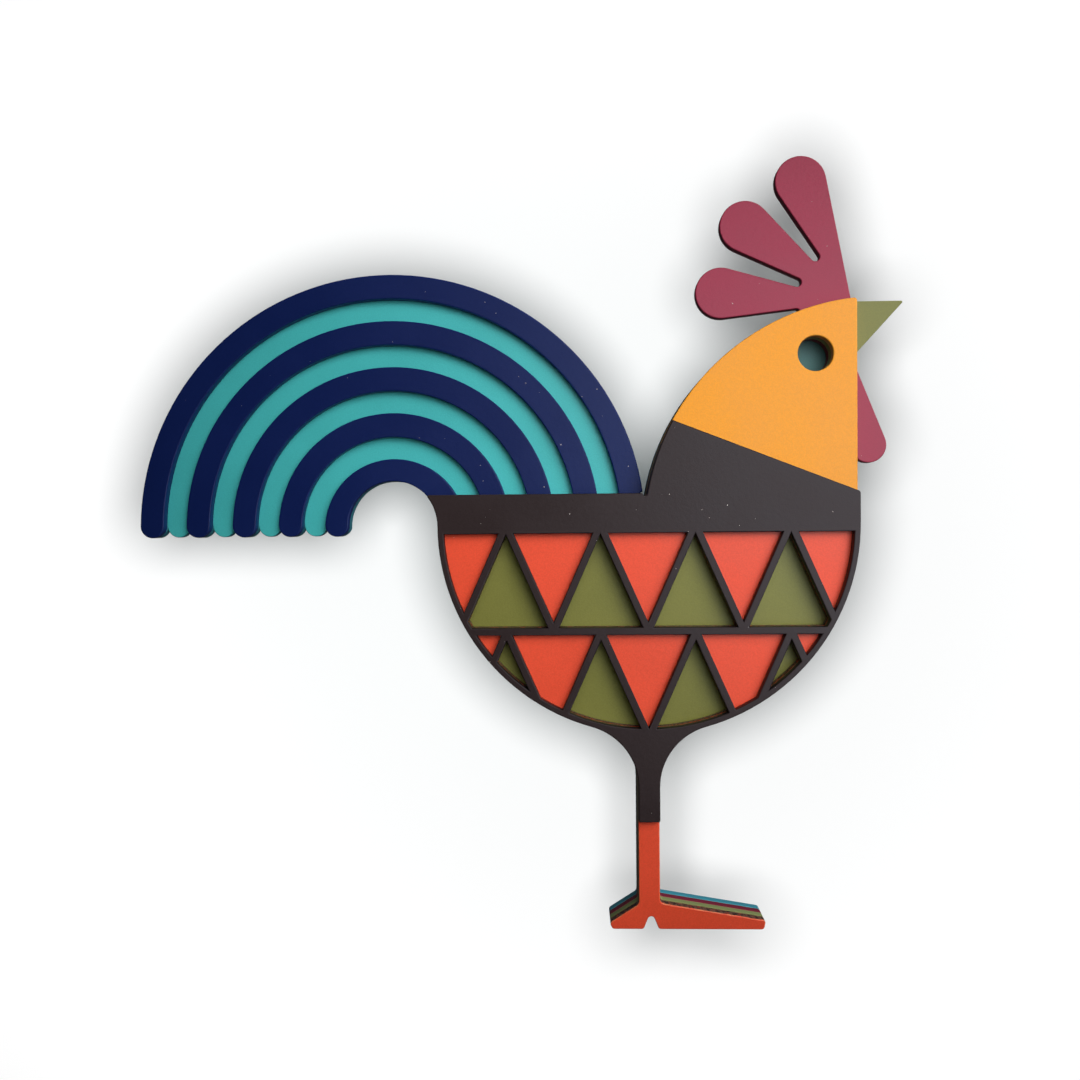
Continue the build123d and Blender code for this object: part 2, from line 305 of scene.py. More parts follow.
@dataclass
class SharedEffects:
    """Surface effects that several paints use, each one a shader node group.

    Attributes:
        mottle: The cloudy tone.
        peel: The roller's dimples.
        stipple: The fine grain.
        wear: The worn patches along a rim.
        dust_scale: Cells to the metre, with one speck in each.
        speck_fade: Where a speck has faded and where it is full, as shares of its size.
        cloud_matt: How much the cloudy tone changes the roughness.
        grain_matt: How much the fine grain changes the roughness.
        grain_height: How high the fine grain stands against the dimples.
        paint_film: The group of the rolled paint.
        worn_rim: The group of the thin paint along a rim.
        fine_dust: The group of the specks.
    """

    mottle: Pattern = Pattern(42.0, 4.0)
    peel: Pattern = Pattern(780.0, 1.0, span=None)
    stipple: Pattern = Pattern(2700.0, 2.0, span=(0.25, 0.75))
    wear: Pattern = Pattern(520.0, 3.0)
    dust_scale: float = 270.0
    speck_fade: Pair = (1.0, 0.6)
    cloud_matt: float = 0.04
    grain_matt: float = 0.05
    grain_height: float = 0.12
    paint_film: NodeTree = field(init=False)
    worn_rim: NodeTree = field(init=False)
    fine_dust: NodeTree = field(init=False)

    def __post_init__(self) -> None:
        """Build the groups once."""
        self.paint_film = self._make_paint_film()
        self.worn_rim = self._make_worn_rim()
        self.fine_dust = self._make_fine_dust()

    def _make_paint_film(self) -> NodeTree:
        """Make the rolled paint: cloudy tone, dimples and fine grain.

        Returns:
            The group, which puts out a colour, a roughness and a height.
        """
        bench, given, result = new_group(
            "paint_film",
            {SocketKind.COLOUR: ("Colour",), SocketKind.NUMBER: ("Shift", "Mottle", "Stipple", "Roughness")},
            {SocketKind.COLOUR: ("Colour",), SocketKind.NUMBER: ("Roughness", "Height")})
        place = bench.place(given["Shift"])
        cloud = bench.noise(place, self.mottle, -1.0, 1.0)
        peel = bench.noise(place, self.peel)
        grain = bench.noise(place, self.stipple, -1.0, 1.0)
        cloudy = bench.sum("MULTIPLY", cloud, given["Mottle"])
        tone = bench.sum("ADD", bench.sum("MULTIPLY_ADD", grain, given["Stipple"], cloudy), 1.0)
        toned = bench.add("ShaderNodeVectorMath", {0: given["Colour"], "Scale": tone}, operation="SCALE")
        bench.feed(result["Colour"], toned.outputs[0])
        uneven = bench.sum("MULTIPLY_ADD", cloud, self.cloud_matt, given["Roughness"])
        bench.feed(result["Roughness"], bench.sum("MULTIPLY_ADD", grain, self.grain_matt, uneven))
        bench.feed(result["Height"], bench.sum("MULTIPLY_ADD", grain, self.grain_height, peel))
        return bench.tree

    def _make_worn_rim(self) -> NodeTree:
        """Make the thin paint along a softened rim.

        Returns:
            The group, which puts out a colour.
        """
        bench, given, result = new_group(
            "worn_rim",
            {SocketKind.COLOUR: ("Colour", "Worn Colour"), SocketKind.NUMBER: ("Shift", "Wear")},
            {SocketKind.COLOUR: ("Colour",)})
        patch = bench.noise(bench.place(given["Shift"]), self.wear)
        worn = bench.sum("MULTIPLY", bench.marked(RIM), bench.sum("MULTIPLY", patch, given["Wear"]))
        bench.feed(result["Colour"], bench.blend(worn, given["Colour"], given["Worn Colour"]))
        return bench.tree

    def _make_fine_dust(self) -> NodeTree:
        """Make the specks of dust or dirt on the paint.

        Returns:
            The group, which puts out a colour and a mask of the specks.
        """
        bench, given, result = new_group(
            "fine_dust",
            {SocketKind.COLOUR: ("Colour", "Speck Colour"), SocketKind.NUMBER: ("Shift", "Size")},
            {SocketKind.COLOUR: ("Colour",), SocketKind.NUMBER: ("Mask",)})
        cells = bench.add("ShaderNodeTexVoronoi", {
            "Vector": bench.place(given["Shift"]), "Scale": self.dust_scale})
        reach = bench.sum("MULTIPLY", given["Size"], self.dust_scale)
        near = bench.sum("DIVIDE", cells.outputs["Distance"], reach)
        mask = bench.ramp(near, *self.speck_fade)
        bench.feed(result["Mask"], mask)
        bench.feed(result["Colour"], bench.blend(mask, given["Colour"], given["Speck Colour"]))
        return bench.tree


@dataclass(frozen=True)
class Scorch:
    """The look of a bare edge that was scorched in cutting.

    Attributes:
        charcoal: The colour of its flecks, on the screen scale.
        stretch: The patterns' scale along each axis.
        flecks: The pattern of the flecks.
        rags: The pattern of the paint's ragged border.
        raggedness: How far that border wanders, as a share of the rim.
        border: Where on the rim the edge starts to be bare and where it is all bare.
    """

    charcoal: Colour = (30, 21, 20)
    stretch: Triple = (1.0, 0.45, 1.0)
    flecks: Pattern = Pattern(1500.0, 3.0, span=(0.42, 0.62))
    rags: Pattern = Pattern(900.0, 2.0)
    raggedness: float = 0.25
    border: Pair = (0.55, 0.85)


@dataclass(frozen=True)
class PaintFinish:
    """A satin paint on a cut sheet.

    Attributes:
        slot: The paint's slot name, which also names the paint and its material.
        face: The colour of the faces, on the screen scale.
        edge: The colour of the cut edge; on the teal, maroon and olive paints it is darkened as painted
            shade on the walls.
        rim: The colour that shows where the paint is thin along a rim.
        speck: The colour of the specks.
        speck_size: How large the specks are, in metres.
        speck_height: How high the specks stand against the dimples.
        wear: How far the rim's paint has thinned.
        mottle: How cloudy the tone is.
        stipple: How strong the fine grain is.
        roughness: How matt the film is.
        gloss: How strongly the film reflects.
        relief: How deep the dimples are, in metres.
        shift: Where the patterns start, so that sheets differ.
        edge_style: Whether the cut edge is painted or bare.
        scorch: How a bare edge looks.
    """

    slot: str
    face: Colour
    edge: Colour
    rim: Colour
    speck: Colour = (226, 218, 212)
    speck_size: float = 0.12 * MM
    speck_height: float = 0.6
    wear: float = 0.5
    mottle: float = 0.04
    stipple: float = 0.06
    roughness: float = 0.42
    gloss: float = 0.22
    relief: float = 0.03 * MM
    shift: float = 0.0
    edge_style: EdgeStyle = EdgeStyle.PAINTED
    scorch: Scorch = Scorch()

    def material(self, effects: SharedEffects) -> Material:
        """Make the paint as a node material.

        Args:
            effects: The shared effects to place in it.

        Returns:
            The material.
        """
        material = bpy.data.materials.new(self.slot)
        material.use_nodes = True
        bench = NodeBench(material.node_tree)
        shader = bench.tree.nodes["Principled BSDF"]
        ground = self._scorched(bench) if self.edge_style is EdgeStyle.BARE else self._edged(bench)
        worn = self._group(bench, effects.worn_rim, {
            "Colour": ground, "Worn Colour": linear(self.rim), "Wear": self.wear})
        film = self._group(bench, effects.paint_film, {
            "Colour": worn.outputs["Colour"], "Mottle": self.mottle, "Stipple": self.stipple,
            "Roughness": self.roughness})
        dust = self._group(bench, effects.fine_dust, {
            "Colour": film.outputs["Colour"], "Speck Colour": linear(self.speck), "Size": self.speck_size})
        height = bench.sum("MULTIPLY_ADD", dust.outputs["Mask"], self.speck_height, film.outputs["Height"])
        bump = bench.add("ShaderNodeBump", {"Height": height, "Distance": self.relief})
        bench.feed(shader.inputs["Specular IOR Level"], self.gloss)
        bench.feed(shader.inputs["Base Color"], dust.outputs["Colour"])
        bench.feed(shader.inputs["Roughness"], film.outputs["Roughness"])
        bench.feed(shader.inputs["Normal"], bump.outputs["Normal"])
        return material

    def _group(self, bench: NodeBench, tree: NodeTree, values: dict[str, SocketValue]) -> Node:
        """Place a shared effect with this finish's shift.

        Args:
            bench: The material's bench.
            tree: The effect's group.
            values: What goes into its other sockets.

        Returns:
            The group's node.
        """
        return bench.add("ShaderNodeGroup", {**values, "Shift": self.shift}, node_tree=tree)

    def _edged(self, bench: NodeBench) -> NodeSocket:
        """Paint the cut edge a little differently from the faces.

        Args:
            bench: The material's bench.

        Returns:
            The colour's output.
        """
        return bench.blend(bench.marked(WALL), linear(self.face), linear(self.edge))

    def _scorched(self, bench: NodeBench) -> NodeSocket:
        """Leave the cut edge bare and scorched, with flecks of charcoal.

        Args:
            bench: The material's bench.

        Returns:
            The colour's output.
        """
        scorch = self.scorch
        place = bench.place((self.shift, self.shift, self.shift), scorch.stretch)
        flecks = bench.noise(place, scorch.flecks)
        brown = bench.blend(flecks, linear(self.edge), linear(scorch.charcoal))
        ragged = bench.noise(place, scorch.rags, -scorch.raggedness, scorch.raggedness)
        bare = bench.ramp(bench.sum("ADD", bench.marked(WALL), ragged), *scorch.border)
        return bench.blend(bare, linear(self.face), brown)


@dataclass(frozen=True)
class EyeShadePaint(PaintFinish):
    """A satin paint with one round spot of painted shade, on the floor under the eye hole that was cut above
    it.

    Attributes:
        soot: The colour of the paint darkened by the painted shade, on the screen scale.
        soot_place: The spot's middle, in metres.
        soot_reach: How far the spot is full, and where it has faded away, in metres.
        soot_depth: How much faster the spot fades along each axis, so that it stays off the sheet's back.
    """

    # painted shade: the eye hole's floor is darkened in the paint itself
    soot: Colour = (57, 104, 101)
    soot_place: Triple = (61.8 * MM, -3.0 * MM, 59.9 * MM)
    soot_reach: Pair = (5.5 * MM, 6.5 * MM)
    soot_depth: Triple = (1.0, 4.0, 1.0)

    def _edged(self, bench: NodeBench) -> NodeSocket:
        """Paint shade into the colour around the spot's middle, where the eye hole's floor lies in shadow.

        Args:
            bench: The material's bench.

        Returns:
            The colour's output.
        """
        clean = super()._edged(bench)
        near = bench.place(-Vector(self.soot_place), self.soot_depth)
        away = bench.add("ShaderNodeVectorMath", {0: near}, operation="LENGTH")
        full, faded = self.soot_reach
        # painted shade, darkest at the eye hole's middle and fading outward
        return bench.blend(bench.ramp(away.outputs["Value"], faded, full), clean, linear(self.soot))


def clear_of_holes(triangles: list[list[int]], borders: set[frozenset[int]]) -> list[list[int]]:
    """Pick the triangles that lie in the sheet, not in its holes.

    Args:
        triangles: The corners of every triangle within the outer border.
        borders: The sides that are the outer border or a hole's border.

    Returns:
        The triangles from which an odd number of borders leads outside.
    """
    sides = [[frozenset(pair) for pair in zip(corners, corners[1:] + corners[:1])] for corners in triangles]
    neighbours: dict[frozenset[int], list[int]] = {}
    for number, around in enumerate(sides):
        for side in around:
            neighbours.setdefault(side, []).append(number)
    inside: dict[int, bool] = {pair[0]: True for pair in neighbours.values() if len(pair) == 1}
    waiting = list(inside)
    while waiting:
        number = waiting.pop()
        for side in sides[number]:
            for other in neighbours[side]:
                if other not in inside:
                    inside[other] = inside[number] != (side in borders)
                    waiting.append(other)
    return [corners for number, corners in enumerate(triangles) if inside[number]]


@dataclass(frozen=True)
class PaintedSheet:
    """A cut sheet: a copy of its solid with softened rims, in its paint.

    Attributes:
        node: The CAD node that the sheet stands for.
        piece: The sheet's own name.
        finish: Its paint.
        front_round: How much its front rim is softened, in metres.
        back_round: How much its back rim is softened, in metres.
        front_setback: How far its front face lies inside the solid's, to leave room for dust, in metres.
        steps: Facets across a softened rim.
        smooth_angle: The largest turn that still shades as one surface, in radians.
        flat_angle: The largest turn between facets that are joined as one flat, in radians.
        rim_angle: The least turn from a face over its rim, in radians.
        near: How close a point counts as lying in a face, in metres.
        same_corner: How close the solid's corners are merged, in metres.
        same_point: How close points of a filled face are merged, in metres.
    """

    node: str
    piece: str
    finish: PaintFinish
    front_round: float = 0.35 * MM
    back_round: float = 0.12 * MM
    front_setback: float = 0.0
    steps: int = 3
    smooth_angle: float = math.radians(38.0)
    flat_angle: float = math.radians(0.2)
    rim_angle: float = math.radians(60.0)
    near: float = 0.01 * MM
    same_corner: float = 0.002 * MM
    same_point: float = 0.001 * MM

    def build(self, effects: SharedEffects) -> Object:
        """Args:
            effects: The shared effects for its paint.

        Returns:
            The finished sheet.
        """
        sheet = put_up(self.piece, self._shape())
        sheet.data.materials.append(self.finish.material(effects))
        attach(sheet, BODY)
        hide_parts(self.node)
        LOG.info("%s: %d faces, %s", self.piece, len(sheet.data.polygons), self.finish.slot)
        return sheet

    def _shape(self) -> Mesh:
        """Copy the solid, merge it and soften its rims.

        Returns:
            The sheet's mesh, with its rim and wall marked.
        """
        form = bmesh.new()
        form.from_mesh(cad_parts[self.node].data)
        bmesh.ops.remove_doubles(form, verts=form.verts[:], dist=self.same_corner)
        bmesh.ops.dissolve_limit(form, angle_limit=self.flat_angle, verts=form.verts[:], edges=form.edges[:])
        low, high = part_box(self.node)
        self._soften(form, low.y, self.front_round)
        self._soften(form, high.y, self.back_round)
        self._refill(form, low.y, TO_FRONT)
        self._refill(form, high.y, TO_BACK)
        self._mark(form, low.y, high.y)
        front = low.y + self.front_setback
        for vertex in form.verts:
            vertex.co.y = max(vertex.co.y, front)
        for edge in form.edges:
            edge.smooth = edge.is_manifold and edge.calc_face_angle(math.pi) < self.smooth_angle
        for face in form.faces:
            face.smooth = True
        mesh = bpy.data.meshes.new(self.piece)
        form.to_mesh(mesh)
        form.free()
        self._even_shading(mesh, front, high.y)
        return mesh

    def _soften(self, form: BMesh, level: float, reach: float) -> None:
        """Round the rim that lies in one face of the sheet.

        Args:
            form: The sheet's form.
            level: Where the face lies along the depth, in metres.
            reach: How much the rim is rounded, in metres.
        """
        rim = [edge for edge in form.edges
               if all(abs(vertex.co.y - level) < self.near for vertex in edge.verts)
               and edge.calc_face_angle(0.0) > self.rim_angle]
        bmesh.ops.bevel(form, geom=rim, offset=reach, offset_type="OFFSET", segments=self.steps,
                        profile=ROUND_PROFILE, affect="EDGES", clamp_overlap=False, loop_slide=True)

    def _refill(self, form: BMesh, level: float, outward: Vector) -> None:
        """Fill a flat face with triangles that keep clear of its holes.

        Args:
            form: The sheet's form.
            level: Where the face lies along the depth, in metres.
            outward: The direction that the face looks in.
        """
        flat = [face for face in form.faces
                if all(abs(vertex.co.y - level) < self.near for vertex in face.verts)]
        inside = set(flat)
        rim = [edge for edge in form.edges if sum(face in inside for face in edge.link_faces) == 1]
        bmesh.ops.delete(form, geom=flat, context="FACES_KEEP_BOUNDARY")
        corners = list(dict.fromkeys(vertex for edge in rim for vertex in edge.verts))
        place = {vertex: number for number, vertex in enumerate(corners)}
        links = [tuple(place[vertex] for vertex in edge.verts) for edge in rim]
        points, sides, triangles, origins, side_origins, _ = delaunay_2d_cdt(
            [vertex.co.xz for vertex in corners], links, [], FILL_WITHIN_RIM, self.same_point)
        filled = [corners[origin[0]] if origin else form.verts.new((point.x, level, point.y))
                  for point, origin in zip(points, origins)]
        borders = {frozenset(side) for side, origin in zip(sides, side_origins) if origin}
        for triangle in clear_of_holes(triangles, borders):
            face = form.faces.new([filled[number] for number in triangle])
            face.normal_update()
            if face.normal.dot(outward) < 0.0:
                face.normal_flip()

    def _mark(self, form: BMesh, front: float, back: float) -> None:
        """Mark the rim and the cut edge for the paint.

        Args:
            form: The sheet's form.
            front: Where the front face lies, in metres.
            back: Where the back face lies, in metres.
        """
        rim = form.verts.layers.float.new(RIM)
        wall = form.verts.layers.float.new(WALL)
        for vertex in form.verts:
            into_front = min(max((vertex.co.y - front) / self.front_round, 0.0), 1.0)
            into_back = min(max((back - vertex.co.y) / self.back_round, 0.0), 1.0)
            vertex[wall] = min(into_front, into_back)
            vertex[rim] = math.sin(math.pi * into_front) if into_front < 1.0 else 0.0

    def _even_shading(self, mesh: Mesh, front: float, back: float) -> None:
        """Let the flat faces rule the shading, so that only the rims look round.

        Args:
            mesh: The sheet's mesh.
            front: Where the front face lies, in metres.
            back: Where the back face lies, in metres.
        """
        normals = [corner.vector.copy() for corner in mesh.corner_normals]
        for loop in mesh.loops:
            depth = mesh.vertices[loop.vertex_index].co.y
            if abs(depth - front) < self.near:
                normals[loop.index] = TO_FRONT
            elif abs(depth - back) < self.near:
                normals[loop.index] = TO_BACK
        mesh.normals_split_custom_set(normals)


def plain_mesh(piece: Object) -> None:
    """Turn a piece's modifiers into a plain mesh.

    Args:
        piece: The piece, whose mesh is replaced.
    """
    bpy.context.view_layer.update()
    depsgraph = bpy.context.evaluated_depsgraph_get()
    mesh = bpy.data.meshes.new_from_object(
        piece.evaluated_get(depsgraph), preserve_all_data_layers=True, depsgraph=depsgraph)
    piece.modifiers.clear()
    former = piece.data
    piece.data = mesh
    bpy.data.meshes.remove(former)
    mesh.name = piece.name


@dataclass(frozen=True)
class DustFinish:
    """Pale, matt lint.

    Attributes:
        name: The finish's name.
        pale: The colour of clean lint, on the screen scale.
        dull: The colour of grey lint.
        patch: The pattern of grey lint among the clean.
        roughness: How matt the lint is.
    """

    name: str = "pale_lint"
    pale: Colour = (232, 224, 218)
    dull: Colour = (150, 138, 134)
    patch: Pattern = Pattern(900.0, 2.0, span=(0.35, 0.65))
    roughness: float = 0.9

    def material(self) -> Material:
        """Make the lint as a node material.

        Returns:
            The material.
        """
        material = bpy.data.materials.new(self.name)
        material.use_nodes = True
        bench = NodeBench(material.node_tree)
        shader = bench.tree.nodes["Principled BSDF"]
        grey = bench.noise(bench.add("ShaderNodeTexCoord").outputs["Object"], self.patch)
        bench.feed(shader.inputs["Roughness"], self.roughness)
        bench.feed(shader.inputs["Base Color"], bench.blend(grey, linear(self.pale), linear(self.dull)))
        return material


@dataclass
class DustFlakes:
    """Flakes of dust, scattered over the open front faces of sheets.

    Attributes:
        finish: The flakes' finish.
        radius: A flake's usual radius, in metres.
        height: How far a flake stands out of the face at most, in metres.
        start_depth: Where the flakes start their fall, in front of every sheet, in metres.
        fall: How far a flake falls at most, in metres.
        near: How close to the sheet's face a flake has to land to stay, in metres.
        grid_corners: The corners along each side of the grid that the flakes start from.
        ball_steps: How often the facets of a flake's ball are divided.
        slimmest: A flake's least stretch along each axis.
        broadest: A flake's greatest stretch along each axis.
        lint: The finish's material.
        tree: The tree that scatters the flakes.
    """

    finish: DustFinish = DustFinish()
    radius: float = 0.15 * MM
    height: float = 0.025 * MM
    start_depth: float = -20.0 * MM
    fall: float = 1.0
    near: float = 0.01 * MM
    grid_corners: int = 2
    ball_steps: int = 2
    slimmest: Triple = (0.5, 0.6, 0.35)
    broadest: Triple = (1.5, 1.0, 0.9)
    lint: Material = field(init=False)
    tree: NodeTree = field(init=False)

    def __post_init__(self) -> None:
        """Make the lint and the scattering tree once."""
        self.lint = self.finish.material()
        self.tree = self._make_tree()

    def scatter(self, sheet: Object, sheets: Collection, density: float, seed: int, slot: str) -> None:
        """Args:
            sheet: The sheet that the flakes lie on.
            sheets: All sheets, which keep the dust off what they cover.
            density: Flakes to the square metre.
            seed: The seed of the scatter.
            slot: The slot of the paint that the flakes lie on; not used.
        """
        name = f"{sheet.name}_dust"
        flakes = put_up(name, bpy.data.meshes.new(name))
        spread = flakes.modifiers.new("scatter", "NODES")
        spread.node_group = self.tree
        (left, *_, right), (front, *_), (bottom, *_, top) = (
            sorted(levels) for levels in zip(*(vertex.co for vertex in sheet.data.vertices)))
        given = {"Sheets": sheets, "Width": right - left, "Height": top - bottom, "Front": front,
                 "Middle": ((left + right) / 2, self.start_depth, (bottom + top) / 2),
                 "Density": density, "Seed": seed, "Flake Radius": self.radius,
                 "Flake Height": self.height, "Finish": self.lint}
        for socket in self.tree.interface.items_tree:
            if socket.in_out == "INPUT":
                spread[socket.identifier] = given[socket.name]
        plain_mesh(flakes)
        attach(flakes, BODY)
        LOG.info("%s: %d faces, %s", name, len(flakes.data.polygons), self.finish.name)

    def _make_tree(self) -> NodeTree:
        """Make the tree that drops flakes on a sheet and keeps those that no other sheet stops.

        Returns:
            The geometry node tree.
        """
        bench, given, result = new_group(
            "dust_flakes",
            {SocketKind.COLLECTION: ("Sheets",), SocketKind.VECTOR: ("Middle",), SocketKind.WHOLE: ("Seed",),
             SocketKind.NUMBER: ("Width", "Height", "Front", "Density", "Flake Radius", "Flake Height"),
             SocketKind.MATERIAL: ("Finish",)},
            {SocketKind.GEOMETRY: ("Flakes",)}, "GeometryNodeTree")
        bench.tree.is_modifier = True
        grid = bench.add("GeometryNodeMeshGrid", {
            "Size X": given["Width"], "Size Y": given["Height"],
            "Vertices X": self.grid_corners, "Vertices Y": self.grid_corners})
        upright = bench.add("GeometryNodeTransform", {
            0: grid.outputs["Mesh"], "Translation": given["Middle"], "Rotation": (math.pi / 2, 0.0, 0.0)})
        points = bench.add("GeometryNodeDistributePointsOnFaces", {
            "Mesh": upright.outputs[0], "Density": given["Density"], "Seed": given["Seed"]})
        landing = self._landing(bench, given["Sheets"])
        depth = bench.add("ShaderNodeSeparateXYZ", {0: landing}).outputs["Y"]
        beside = bench.sum("ABSOLUTE", bench.sum("SUBTRACT", depth, given["Front"]))
        stopped = bench.add("FunctionNodeCompare", {0: beside, 1: self.near}, operation="GREATER_THAN")
        kept = bench.add("GeometryNodeDeleteGeometry", {
            "Geometry": points.outputs["Points"], "Selection": stopped.outputs[0]})
        landed = bench.add("GeometryNodeSetPosition", {"Geometry": kept.outputs[0], "Position": landing})
        turn, stretch = (
            bench.add("FunctionNodeRandomValue", {0: least, 1: most, "Seed": given["Seed"]},
                      data_type="FLOAT_VECTOR").outputs[0]
            for least, most in (((0.0, 0.0, 0.0), (0.0, math.tau, 0.0)), (self.slimmest, self.broadest)))
        placed = bench.add("GeometryNodeInstanceOnPoints", {
            "Points": landed.outputs[0], "Instance": self._flake(bench, given), "Rotation": turn,
            "Scale": stretch})
        real = bench.add("GeometryNodeRealizeInstances", {"Geometry": placed.outputs[0]})
        finished = bench.add("GeometryNodeSetMaterial", {
            "Geometry": real.outputs[0], "Material": given["Finish"]})
        bench.feed(result["Flakes"], finished.outputs[0])
        return bench.tree

    def _landing(self, bench: NodeBench, sheets: NodeSocket) -> NodeSocket:
        """Find out where a flake lands when it falls back onto the sheets.

        Args:
            bench: The tree's bench.
            sheets: The input that gives all sheets.

        Returns:
            The landing place's output.
        """
        stack = bench.add("GeometryNodeCollectionInfo", {"Collection": sheets})
        solid = bench.add("GeometryNodeRealizeInstances", {"Geometry": stack.outputs[0]})
        ray = bench.add("GeometryNodeRaycast", {
            "Target Geometry": solid.outputs[0], "Ray Direction": TO_BACK, "Ray Length": self.fall})
        return ray.outputs["Hit Position"]

    def _flake(self, bench: NodeBench, given: dict[str, NodeSocket]) -> NodeSocket:
        """Make one flake: a ball pressed flat against the face.

        Args:
            bench: The tree's bench.
            given: The tree's inputs by name.

        Returns:
            The flake's output.
        """
        ball = bench.add("GeometryNodeMeshIcoSphere", {
            "Radius": given["Flake Radius"], "Subdivisions": self.ball_steps})
        flatness = bench.sum("DIVIDE", given["Flake Height"], given["Flake Radius"])
        scale = bench.add("ShaderNodeCombineXYZ", {"X": 1.0, "Y": flatness, "Z": 1.0})
        flake = bench.add("GeometryNodeTransform", {
            "Geometry": ball.outputs["Mesh"], "Scale": scale.outputs[0]})
        return flake.outputs[0]


@dataclass
class SheetGroup:
    """Painted sheets that belong together, one in each field."""

    def build(self, effects: SharedEffects) -> list[Object]:
        """Make the sheets.

        Args:
            effects: The shared effects for the paints.

        Returns:
            The sheets, back one first.
        """
        return [getattr(self, part.name).build(effects) for part in fields(self)]


@dataclass
class TailFan(SheetGroup):
    """The tail: teal sheet at the back, with the navy feathers on it.

    Attributes:
        back: The teal sheet, which is the whole bird's back.
        feathers: The navy feathers.
    """

    # the teal paint holds a spot of painted shade on the floor under the eye hole
    back: PaintedSheet = PaintedSheet("teal_back_plate", "teal_back_sheet", EyeShadePaint(
        # edge colour darkened as painted shade on the cut walls
        "teal_paint", face=(68, 180, 179), edge=(55, 127, 145), rim=(96, 190, 200),
        speck=(24, 70, 76), speck_size=0.09 * MM, shift=1.7))
    feathers: PaintedSheet = PaintedSheet("navy_tail_plate", "navy_feather_sheet", PaintFinish(
        "navy_paint", face=(10, 27, 79), edge=(18, 44, 108), rim=(26, 46, 112),
        speck_size=0.07 * MM, shift=4.3), front_round=0.4 * MM)


@dataclass
class Head(SheetGroup):
    """The head: maroon comb and wattle, green beak, yellow face.

    Attributes:
        comb: The maroon comb and wattle.
        beak: The green beak.
        face: The yellow face with the eye hole.
    """

    comb: PaintedSheet = PaintedSheet("maroon_comb_plate", "maroon_comb_sheet", PaintFinish(
        # edge colour darkened as painted shade on the cut walls
        "maroon_paint", face=(148, 40, 65), edge=(104, 31, 49), rim=(150, 58, 80),
        speck_size=0.13 * MM, shift=7.9))
    beak: PaintedSheet = PaintedSheet("green_beak_plate", "green_beak_sheet", PaintFinish(
        # edge colour darkened as painted shade on the cut walls
        "olive_paint", face=(118, 118, 54), edge=(121, 130, 83), rim=(140, 142, 90),
        speck=(52, 56, 30), speck_size=0.07 * MM, shift=11.1))
    face: PaintedSheet = PaintedSheet("yellow_head_plate", "yellow_head_sheet", PaintFinish(
        "yellow_paint", face=(239, 153, 8), edge=(196, 138, 70), rim=(250, 192, 104),
        speck=(170, 105, 40), speck_size=0.05 * MM, mottle=0.025, shift=13.7), front_round=0.4 * MM)


@dataclass
class Breast(SheetGroup):
    """The breast: orange sheet with leg and foot, under the black lattice.

    Attributes:
        breast: The orange breast, leg and foot, whose cut edge is bare.
        lattice: The black lattice.
    """

    breast: PaintedSheet = PaintedSheet("orange_breast_plate", "orange_breast_sheet", PaintFinish(
        "orange_paint", face=(231, 78, 48), edge=(104, 74, 62), rim=(212, 144, 94),
        speck_size=0.06 * MM, wear=0.85, shift=17.3, edge_style=EdgeStyle.BARE))
    lattice: PaintedSheet = PaintedSheet("black_front_frame", "black_lattice_sheet", PaintFinish(
        "black_paint", face=(43, 32, 32), edge=(28, 21, 23), rim=(56, 48, 49),
        speck_size=0.09 * MM, shift=19.9), front_setback=0.03 * MM)


@dataclass(frozen=True)
class LightBox:
    """A flat box of light.

    Attributes:
        name: The box's name.
        place: Where it hangs, in metres.
        size: Its width and height, in metres.
        power: Its power, in watts.
    """

    name: str
    place: Triple
    size: Pair
    power: float


